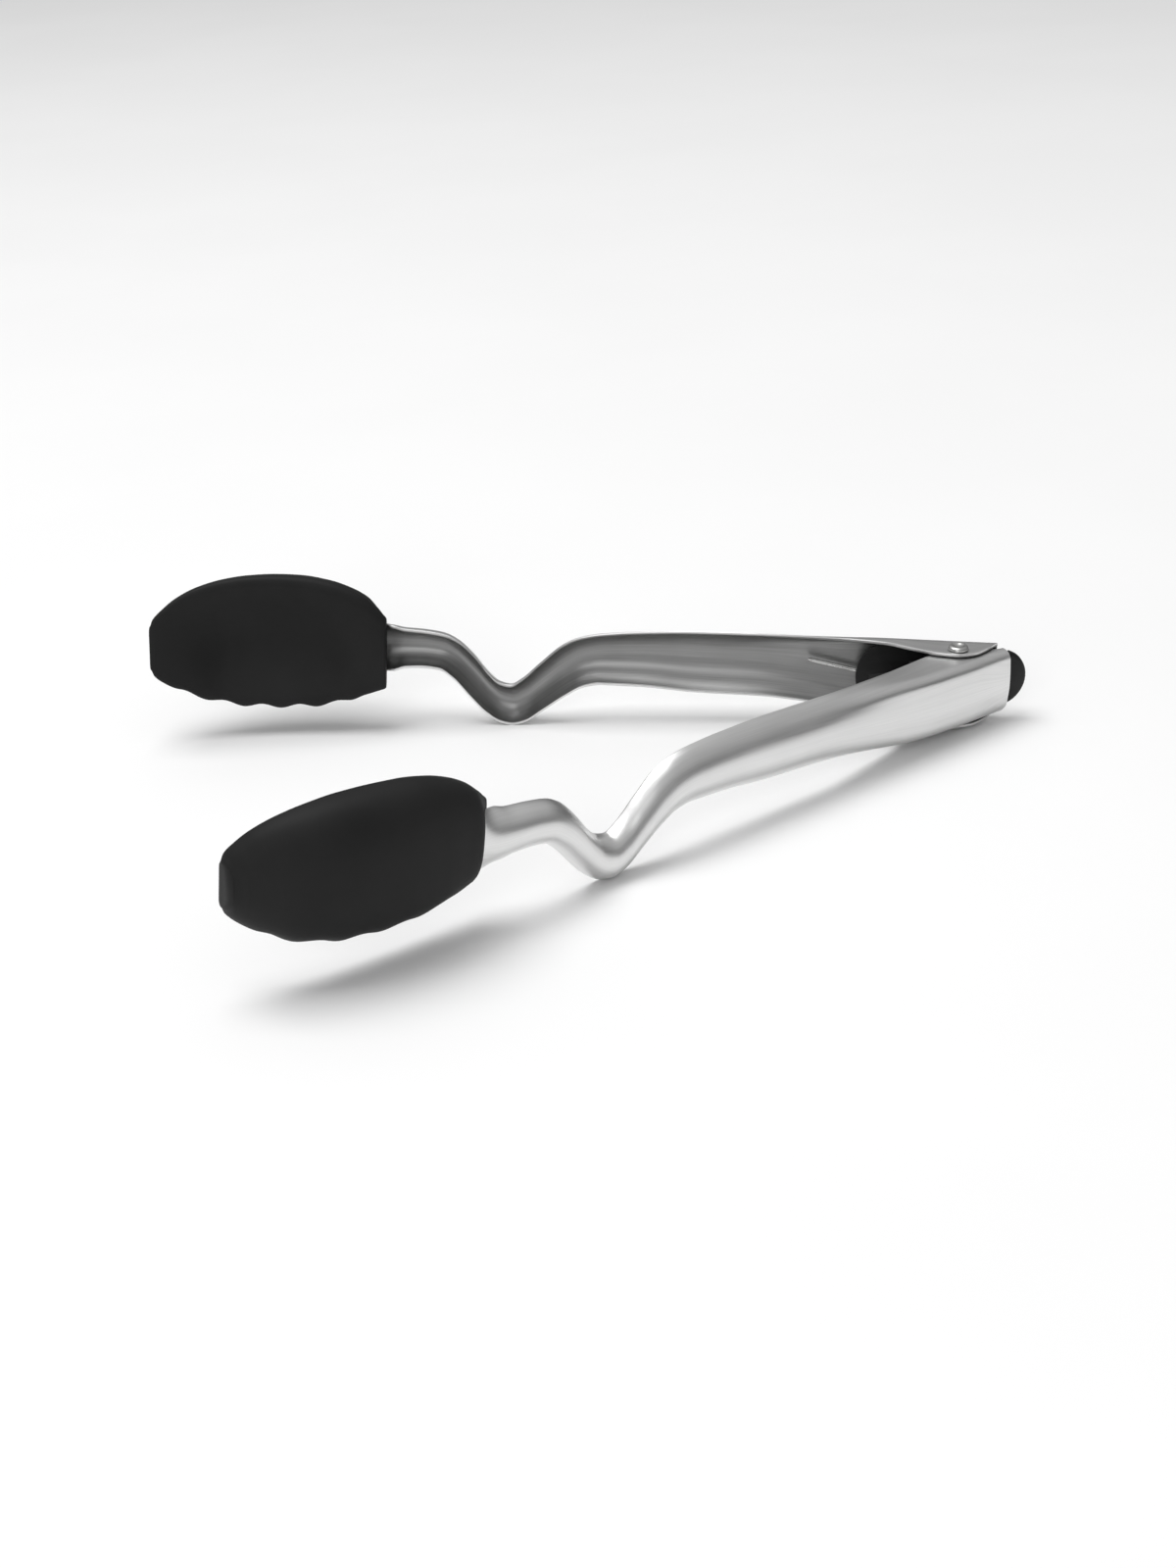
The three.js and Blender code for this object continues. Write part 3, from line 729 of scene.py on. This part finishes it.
TOP_EDGE: tuple[Point2, ...] = (
    (55, 31), (72, 30.9), (88, 30.2), (99, 29.1), (105, 27.8), (109.5, 25.6), (116, 19.9), (121.5, 14.6),
    (125, 12.5), (128, 13.2), (131, 16), (135, 21.3), (139, 25.1), (143, 27), (149, 27.9), (155, 28.4),
    (158.5, 29.3),
)
LOW_EDGE: tuple[Point2, ...] = (
    (55, 12), (72, 12.3), (88, 13.3), (99, 13.4), (104, 12.4), (109.5, 9.2), (116, 4.4), (121, 0.9),
    (124.6, 0), (128, 0.7), (132, 3.4), (136.5, 8.2), (141, 13.3), (145, 16), (150, 16.5), (155, 16.2),
    (158.5, 15.2),
)


@dataclass
class ArmShape:
    """Surfaces of one pressed arm."""

    rear: float
    top: Profile
    low: Profile
    edge: Profile
    web: Profile
    head: HeadShape
    sheet: float = 0.9
    top_corner: float = 2.8
    low_corner: float = 5.4
    crown: float = 0.4
    half_steps: int = 22
    edge_soft: float = 0.22
    tang_start: float = 168.0
    tang_end: float = 203.0
    cover: float = 1.5
    tang_half: Profile = field(default_factory=lambda: Profile(
        (158.5, 7.05), (163, 8), (166, 8.2), (175, 7.5), (192, 7.5), (203, 3.5)))
    tang_middle: Profile = field(default_factory=lambda: Profile((158.5, 22.3), (180, 23.6), (203, 24.2)))

    def half_channel(self, edge: float, web: float, half: float, radius: float) -> list[Point2]:
        """Return half of the flat-flanged channel, from its free edge to the middle of its web.

        Args:
            edge: depth of the free edge.
            web: depth of the web.
            half: half of the channel's height.
            radius: outside radius of its corner.

        Returns:
            The (depth, rise) points.
        """
        corner = web - self.crown - radius
        first = math.asin((edge - corner) / radius) if edge > corner else 0.0
        flange = max(0.0, corner - edge)
        bend = radius * (math.pi / 2 - first)
        wall = half - radius
        points: list[Point2] = []
        for i in range(self.half_steps + 1):
            along = (flange + bend + wall) * i / self.half_steps
            if along < flange:
                points.append((edge + along, half))
            elif along < flange + bend:
                turn = first + (along - flange) / radius
                points.append((corner + radius * math.sin(turn), half - radius * (1 - math.cos(turn))))
            else:
                t = (along - flange - bend) / wall
                points.append((web - self.crown + self.crown * math.sin(math.pi / 2 * t), wall * (1 - t)))
        return points

    def channel(self, edge: float, web: float, top: float, low: float) -> list[Point2]:
        """Return the flat-flanged outline used at the pivot.

        Args:
            edge: depth of the free edges.
            web: depth of the web.
            top: height of the upper flange.
            low: height of the lower flange.

        Returns:
            The (depth, height) points.
        """
        middle, half = (top + low) / 2, (top - low) / 2
        upper = [(v, middle + rise) for v, rise in self.half_channel(edge, web, half, self.top_corner)]
        lower = [(v, middle - rise) for v, rise in self.half_channel(edge, web, half, self.low_corner)]
        return [*upper, *lower[-2::-1]]

    def arc(self, edge: float, web: float, top: float, low: float, count: int) -> list[Point2]:
        """Return the plain arc outline used along the handle.

        Args:
            edge: depth of the free edges.
            web: depth of the web.
            top: height of the upper edge.
            low: height of the lower edge.
            count: how many points.

        Returns:
            The (depth, height) points.
        """
        half, depth = (top - low) / 2, web - edge
        radius = (half * half + depth * depth) / (2 * depth)
        reach = math.asin(half / radius) if depth < half else math.pi - math.asin(half / radius)
        turns = [reach * (1 - 2 * i / (count - 1)) for i in range(count)]
        return [(web - radius + radius * math.cos(a), (top + low) / 2 + radius * math.sin(a)) for a in turns]

    def curve(self, s: float) -> list[Point2]:
        """Return the outer outline, from the upper free edge round to the lower.

        Args:
            s: the station.

        Returns:
            The (depth, height) points.
        """
        in_head = s > 158.5
        top = self.tang_middle(s) + self.tang_half(s) if in_head else self.top(s)
        low = self.tang_middle(s) - self.tang_half(s) if in_head else self.low(s)
        edge, web = self.edge(s), self.web(s)
        channel = self.channel(edge, web, top, low)
        arc = self.arc(edge, web, top, low, len(channel))
        inside = max(s, self.tang_start)
        heights = [mix(top, low, i / (len(channel) - 1)) for i in range(len(channel))]
        tang = [(self.head.outer(inside, z) - self.cover, z) for z in heights]
        opened, sunk = ease(s, 20, 62), ease(s, self.head.start - 1.6, self.tang_start)
        outline = []
        for c, a, t in zip(channel, arc, tang):
            v, z = mix(c[0], a[0], opened), mix(c[1], a[1], opened)
            outline.append((mix(v, t[0], sunk), mix(z, t[1], sunk)))
        return outline

    def ring(self, s: float, shrink: float = 0.0) -> list[Point2]:
        """Return the closed section of the sheet, its two free edges rounded.

        Args:
            s: the station.
            shrink: how far the section is drawn in on all sides, for the softened ends.

        Returns:
            The (v, z) points.
        """
        curve = self.curve(s)
        soft = self.edge_soft
        tips = [(-shrink - soft * out, -soft * past - shrink) for out, past in ((0, 1), (0.3, 0.3), (1, 0))]
        outer = offset_curve(curve, -shrink, 0.0)
        inner = offset_curve(curve, -self.sheet + shrink, 0.0)
        starts = [offset_curve(curve, out, past)[0] for out, past in tips]
        ends = [offset_curve(curve, out, past)[-1] for out, past in tips]
        inner_starts = [offset_curve(curve, -self.sheet - out, past)[0] for out, past in tips]
        inner_ends = [offset_curve(curve, -self.sheet - out, past)[-1] for out, past in tips]
        skin = [*reversed(starts), *outer[1:-1], *ends]
        return [*skin, *reversed(inner_ends), *inner[-2:0:-1], *inner_starts]


def far_shape(head: HeadShape) -> ArmShape:
    """Return the arm whose flanges lie outside at the pivot.

    Args:
        head: the head that the arm's tang is sunk in.

    Returns:
        The arm's surfaces.
    """
    return ArmShape(
        rear=-11,
        top=Profile((26, 30), *TOP_EDGE),
        low=Profile((18, 8.1), *LOW_EDGE),
        edge=Profile((-11, 6.4), (-9.6, 4.2), (-7.6, 1), (-4.5, -2.3), (0, -3.9), (5, -3.3), (11, -1.2),
                     (20, 3.1), (31, 4.7), (50, 3.7), (100, 3.2), (158, 2.6)),
        web=Profile((-11, 8.7), (30, 9.2), (120, 9), (158, 9)),
        head=head,
    )


def near_shape(head: HeadShape) -> ArmShape:
    """Return the arm whose flanges nest inside the other's.

    Args:
        head: the head that the arm's tang is sunk in.

    Returns:
        The arm's surfaces.
    """
    return ArmShape(
        rear=-13,
        top=Profile((14, 28.8), (40, 30), *TOP_EDGE),
        low=Profile((14, 9.3), (40, 11.1), *LOW_EDGE),
        edge=Profile((-13, 4.4), (-7, 1.6), (0, -3.4), (7, -3.8), (15, -3), (26, -1.2), (40, 1), (55, 3.2),
                     (100, 3.2), (158, 2.6)),
        web=Profile((-13, 8.2), (4, 9), (30, 9.2), (120, 9), (158, 9)),
        head=head,
    )


@dataclass
class Arm:
    """One stainless arm."""

    side: Side
    shape: ArmShape
    place: PivotFrame
    handle_station: float = 70
    grain_offset: float = 40.0

    def build(self, material: bpy.types.Material) -> None:
        """Sweep the sheet, store its grain directions and dress it.

        Args:
            material: The sheet's brushed steel.
        """
        soft = 0.2
        stations = stations_along(self.shape.rear + soft, (-4, 0.5), (20, 1.0), (98, 2.6), (106, 1.0),
                                  (141, 0.7), (170, 1.0), (self.shape.tang_end, 3.0))
        sections = [(self.shape.rear, soft), *[(s, 0.0) for s in stations]]
        rings = [self.shape.ring(s, shrink) for s, shrink in sections]
        placed = [[self.place.arm_point(self.side, s, v, z) for v, z in ring]
                  for (s, _), ring in zip(sections, rings)]
        piece = loft(f"{self.side.word}_arm_sheet", placed)
        self.store_grain(piece, [s for s, _ in sections], rings)
        sharpen(piece, CREASE)
        dress(piece, material, "arm_steel", self.side.body, f"{self.side.word}_arm")

    def store_grain(
        self, piece: bpy.types.Object, stations: Sequence[float], rings: Sequence[list[Point2]]
    ) -> None:
        """Write how far each vertex is along the arm and across the sheet, and which are on the inside, where
        the steel's colour is painted darker as shade.

        Args:
            piece: the swept sheet.
            stations: the station of each ring.
            rings: the sections that the sheet was swept through.
        """
        piece.data.attributes.new("grain", "FLOAT_VECTOR", "POINT")
        piece.data.attributes.new("inside", "FLOAT", "POINT")
        grain, inside = piece.data.attributes["grain"], piece.data.attributes["inside"]
        size = len(rings[0])
        middle = [(self.shape.top(s) + self.shape.low(s)) / 2 for s in stations]
        along = [0.0]
        for i in range(1, len(stations)):
            along.append(along[-1] + math.hypot(stations[i] - stations[i - 1], middle[i] - middle[i - 1]))
        across = [0.0]
        widest = self.shape.ring(self.handle_station)
        for a, b in zip(widest, widest[1:]):
            across.append(across[-1] + math.hypot(b[0] - a[0], b[1] - a[1]))
        offset = self.grain_offset * self.side.value
        for index in range(len(stations) * size):
            r, i = divmod(index, size)
            grain.data[index].vector = (along[r] + offset, across[i], offset)
            # Inside vertices get the steel's darker colours: painted shade.
            inside.data[index].value = 1.0 if i > size // 2 else 0.0


# ---------------------------------------------------------------- pivot, spring and lock


def refined(node: str, bevel_mm: float, name: str) -> bpy.types.Object:
    """Copy a CAD node's form and soften its edges.

    Args:
        node: the CAD node.
        bevel_mm: the radius of the softened edges.
        name: the new piece's name.

    Returns:
        The new piece.
    """
    mesh = frame["nodes"][node].data.copy()
    work = bmesh.new()
    work.from_mesh(mesh)
    bmesh.ops.remove_doubles(work, verts=work.verts, dist=1e-6)
    bmesh.ops.dissolve_limit(work, angle_limit=math.radians(1.5), verts=work.verts, edges=work.edges)
    work.to_mesh(mesh)
    work.free()
    mesh.materials.clear()
    piece = bpy.data.objects.new(name, mesh)
    bpy.context.scene.collection.objects.link(piece)
    bevel = piece.modifiers.new("soft_edges", "BEVEL")
    bevel.width = bevel_mm * MM
    bevel.segments = 3
    bevel.limit_method = "ANGLE"
    bevel.angle_limit = math.radians(35)
    bevel.use_clamp_overlap = True
    baked = bpy.data.meshes.new_from_object(piece.evaluated_get(bpy.context.evaluated_depsgraph_get()))
    piece.modifiers.clear()
    piece.data = baked
    baked.shade_smooth()
    sharpen(piece, SOFTENED_CREASE)
    return piece


def turned(name: str, outline: Sequence[Point2], place: PivotFrame, segments: int = 64) -> bpy.types.Object:
    """Turn an outline of (radius, height) points about the pin.

    Args:
        name: the piece's name.
        outline: points from the axis at the bottom round to the axis at the top.
        place: the pin's frame.
        segments: how many facets go round.

    Returns:
        The new piece.
    """
    points: list[Vector] = [place.point(0, 0, outline[0][1])]
    rows = outline[1:-1]
    for radius, height in rows:
        for k in range(segments):
            turn = 2 * math.pi * k / segments
            points.append(place.point(radius * math.cos(turn), radius * math.sin(turn), height))
    points.append(place.point(0, 0, outline[-1][1]))
    faces: list[list[int]] = []
    for k in range(segments):
        n = (k + 1) % segments
        faces.append([0, 1 + n, 1 + k])
        for r in range(len(rows) - 1):
            a = 1 + r * segments
            faces.append([a + k, a + n, a + segments + n, a + segments + k])
        last = 1 + (len(rows) - 1) * segments
        faces.append([last + k, last + n, len(points) - 1])
    return mesh_object(name, points, faces)


@dataclass
class Pivot:
    """The rivet, the sleeve and the washers."""

    place: PivotFrame
    pin: float = 1.9
    head: float = 2.9
    rise: float = 1.1
    low: float = 7.9
    high: float = 30.2

    def dome(self) -> list[Point2]:
        """Return the upper head from its rim to the bottom of its dimple.

        Returns:
            Points of radius and height, in millimetres.
        """
        rim = [(self.head, self.high), (self.head, self.high + 0.25 * self.rise)]
        for degrees in range(10, 91, 10):
            turn = math.radians(degrees)
            rim.append((self.head * (0.62 + 0.38 * math.cos(turn)),
                        self.high + self.rise * (0.25 + 0.75 * math.sin(turn))))
        dimple = []
        for share in (k / 8 for k in range(1, 8)):
            sunk = 0.55 * math.sin(math.pi / 2 * share)
            dimple.append((self.head * 0.62 * (1 - share), self.high + self.rise * (1 - sunk)))
        return [*rim, *dimple, (0.0, self.high + 0.45 * self.rise)]

    def foot(self) -> list[Point2]:
        """Return the lower head from its middle to its rim.

        Returns:
            Points of radius and height, in millimetres.
        """
        flat = self.low - self.rise
        curve = [(0.0, flat), (0.7 * self.head, flat)]
        for degrees in range(15, 91, 15):
            turn = math.radians(degrees)
            drop = 0.8 * self.rise * (1 - math.cos(turn))
            curve.append((self.head * (0.7 + 0.3 * math.sin(turn)), flat + drop))
        return [*curve, (self.head, self.low)]

    def build(self, steel: bpy.types.Material, nylon: bpy.types.Material) -> None:
        """Make the rivet, the sleeve and the washers.

        Args:
            steel: The rivet's finish.
            nylon: The sleeve's and the washers' finish.
        """
        outline = [*self.foot(), (self.pin, self.low), (self.pin, self.high), *self.dome()]
        rivet = turned("rivet_body", outline, self.place)
        sharpen(rivet, TURNED_CREASE)
        dress(rivet, steel, "rivet_steel", "pivot", "pivot_rivet")
        for node in ("pivot_sleeve", "upper_washer", "lower_washer"):
            dress(refined(node, 0.12, f"{node}_body"), nylon, "lock_nylon", "pivot", node)


@dataclass
class TorsionSpring:
    """Coil round the sleeve with a leg along each arm's web."""

    place: PivotFrame
    wire: float = 1.2
    radius: float = 3.75
    turns: int = 6
    coil_steps: int = 150
    facets: int = 14
    leg_depth: float = 4.9
    leg_from: float = 4.6
    leg_to: float = 11.0
    low: float = 14.0
    high: float = 24.0
    rise: float = 8.8
    path: tuple[tuple[float, float, float], ...] = (
        (3, 4.2, 0.07), (6, 5.5, 0.15), (8.6, 6.3, 0.21), (12, 6.5, 0.3), (26, 6.5, 0.65), (41, 6.2, 1.0))

    def half(self, side: Side) -> list[Vector]:
        """Return the wire's centre line from the middle of the coil to one leg's tip.

        Args:
            side: the arm that the leg lies along.

        Returns:
            The points, in metres.
        """
        start = math.pi / 2 - self.place.half_open
        whole = 2 * math.pi * self.turns + 2 * start
        points = []
        for i in range(self.coil_steps + 1):
            share = 0.5 - 0.5 * i / self.coil_steps
            turn = start - whole * share if side is Side.FAR else start - whole * (1 - share)
            height = mix(self.low, self.high, share if side is Side.FAR else 1 - share)
            x, y = self.radius * math.cos(turn), self.radius * math.sin(turn)
            points.append(self.place.point(x, y, height))
        base = self.low if side is Side.FAR else self.high
        knots = [self.place.arm_point(side, s, v, base + side.value * self.rise * r) for s, v, r in self.path]
        ahead = [points[-1], *knots]
        for i in range(len(ahead) - 1):
            before = ahead[i - 1] if i else points[-8]
            after = ahead[min(i + 2, len(ahead) - 1)]
            for k in range(1, 9):
                points.append(self.hermite(before, ahead[i], ahead[i + 1], after, k / 8))
        return points

    @staticmethod
    def hermite(before: Vector, a: Vector, b: Vector, after: Vector, t: float) -> Vector:
        """Return a point on the smooth curve through a and b.

        Args:
            before: the point ahead of a.
            a: where the stretch starts.
            b: where it ends.
            after: the point past b.
            t: the share of the way from a to b.

        Returns:
            The point.
        """
        span = (b - a).length
        ta = ((b - before).normalized() if (b - before).length else b - a) * span
        tb = ((after - a).normalized() if (after - a).length else b - a) * span
        return (a * (2 * t**3 - 3 * t**2 + 1) + ta * (t**3 - 2 * t**2 + t)
                + b * (3 * t**2 - 2 * t**3) + tb * (t**3 - t**2))

    def sweep(self, name: str, path: Sequence[Vector]) -> bpy.types.Object:
        """Sweep the round wire along a path, its tip softened.

        Args:
            name: the piece's name.
            path: the centre line, in metres.

        Returns:
            The swept wire.
        """
        rings = []
        radius = self.wire / 2 * MM
        up = self.place.z
        for i, point in enumerate(path):
            ahead = (path[min(i + 1, len(path) - 1)] - path[max(i - 1, 0)]).normalized()
            across = ahead.cross(up).normalized()
            lift = across.cross(ahead)
            size = radius * (0.72 if i == len(path) - 1 else 1.0)
            rings.append([point + (across * math.cos(a) + lift * math.sin(a)) * size
                          for a in (2 * math.pi * k / self.facets for k in range(self.facets))])
        piece = loft(name, rings)
        sharpen(piece, WIRE_CREASE)
        return piece

    def build(self, steel: bpy.types.Material) -> None:
        """Make both halves; each leg turns with its arm from where it leaves the coil.

        Args:
            steel: The wire's finish.
        """
        for side in Side:
            piece = self.sweep(f"spring_{side.word}_half", self.half(side))
            start = self.place.arm_point(side, self.leg_from, self.leg_depth, 0)
            end = self.place.arm_point(side, self.leg_to, self.leg_depth, 0)
            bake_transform(piece, "pivot", side.body, start=tuple(start), end=tuple(end))
            dress(piece, steel, "spring_wire", side.body, "torsion_spring")


@dataclass
class Lock:
    """Inserts, slider and button."""

    def build(self, nylon: bpy.types.Material, button: bpy.types.Material) -> None:
        """Make the black pieces from the CAD forms with softened edges.

        Args:
            nylon: The inserts' and the slider's finish.
            button: The push button's finish.
        """
        for side in Side:
            node = f"{side.word}_insert"
            dress(refined(node, 0.3, f"{node}_body"), nylon, "lock_nylon", side.body, node)
        dress(refined("lock_slider", 0.2, "lock_slider_body"), nylon, "lock_nylon", "lock", "lock_slider")
        dress(refined("push_button", 0.35, "push_button_body"), button, "button_nylon", "lock", "push_button")


# ---------------------------------------------------------------- studio


@dataclass
class Studio:
    """Camera, bench and lights."""

    place: PivotFrame
    azimuth: float = -15.46
    elevation: float = 25.13
    camera_at: tuple[float, float, float] = (-261.3, -563.35, 276.53)
    lens: float = 55.125
    bench: float = 12.0
    room: float = 0.8
    stops: tuple[tuple[float, Colour], ...] = ((0.12, (0.1, 0.1, 0.1)), (0.6, (0.6, 0.6, 0.6)))

    def camera(self) -> None:
        """Make the camera, level about the pin's frame."""
        data = bpy.data.cameras.new("camera")
        data.lens = self.lens
        data.sensor_width = 36.0
        data.sensor_fit = "AUTO"
        data.clip_start = 0.01
        made = bpy.data.objects.new("camera", data)
        bpy.context.scene.collection.objects.link(made)
        a, e = math.radians(self.azimuth), math.radians(self.elevation)
        back = Vector((math.sin(a) * math.cos(e), -math.cos(a) * math.cos(e), math.sin(e)))
        right = Vector((math.cos(a), math.sin(a), 0))
        turn = Matrix((right, back.cross(right), back)).transposed().to_4x4()
        stand = Matrix.Translation(Vector(self.camera_at) * MM)
        made.matrix_world = self.place.matrix() @ stand @ turn
        bpy.context.scene.camera = made

    def floor(self) -> None:
        """Make the bench top."""
        half = self.bench / 2
        corners = [Vector((x * half, y * half, 0.0)) for x, y in ((-1, -1), (1, -1), (1, 1), (-1, 1))]
        made = mesh_object("bench_top", corners, [[0, 1, 2, 3]])
        made.data.materials.append(PaleBench().material())

    def area(self, name: str, at: tuple[float, float, float], size: float, power: float) -> None:
        """Make a soft square light aimed at the object.

        Args:
            name: the light's name.
            at: where it stands, in metres.
            size: its side, in metres.
            power: its power, in watts.
        """
        data = bpy.data.lights.new(name, "AREA")
        data.shape = "SQUARE"
        data.size = size
        data.energy = power
        made = bpy.data.objects.new(name, data)
        bpy.context.scene.collection.objects.link(made)
        made.location = at
        made.rotation_euler = (Vector((0, 0, 0.02)) - Vector(at)).to_track_quat("-Z", "Y").to_euler()

    def glow(self) -> None:
        """Surround the bench with a grey room that is bright above and darker towards the horizon."""
        graph = Graph(bpy.data.worlds.new("glow"))
        place = graph.node("ShaderNodeTexCoord", output="Generated")
        height = graph.node("ShaderNodeSeparateXYZ", {}, {"Vector": place}, "Z")
        tone = graph.node("ShaderNodeValToRGB", {"stops": self.stops}, {"Fac": height}, "Color")
        light = graph.node("ShaderNodeBackground", {}, {"Color": tone, "Strength": self.room})
        graph.add("ShaderNodeOutputWorld", {}, {"Surface": light})
        bpy.context.scene.world = graph.owner

    def lights(self) -> None:
        """Make the overhead softbox and the front softbox."""
        self.area("overhead_softbox", (-0.5, 0.2, 2.2), 1.5, 36.0)
        self.area("front_softbox", (-0.75, -1.25, 0.75), 0.6, 4.0)

    def build(self) -> None:
        """Make everything that isn't part of the object."""
        bpy.context.scene.view_settings.view_transform = "Standard"
        self.camera()
        self.floor()
        self.glow()
        self.lights()


def main() -> None:
    """Build the studio and every piece, in order."""
    logging.basicConfig(level=logging.INFO, format="%(name)s: %(message)s")
    place = PivotFrame.from_joints(frame["joints"], half_open=21.74)
    Studio(place).build()
    steel = BrushedSteel().material()
    silicone = MattSilicone().material()
    nylon = MouldedNylon("moulded_nylon").material()
    head = HeadShape()
    shapes: dict[Side, Callable[[HeadShape], ArmShape]] = {Side.FAR: far_shape, Side.NEAR: near_shape}
    for side in Side:
        Arm(side, shapes[side](head), place).build(steel)
        Head(side, head, place).build(silicone)
    Pivot(place).build(SatinSteel("rivet_steel").material(), nylon)
    TorsionSpring(place).build(SatinSteel("spring_wire", roughness=0.22).material())
    Lock().build(nylon, MouldedNylon("button_nylon", roughness=0.36).material())


if __name__ == "__main__":
    main()
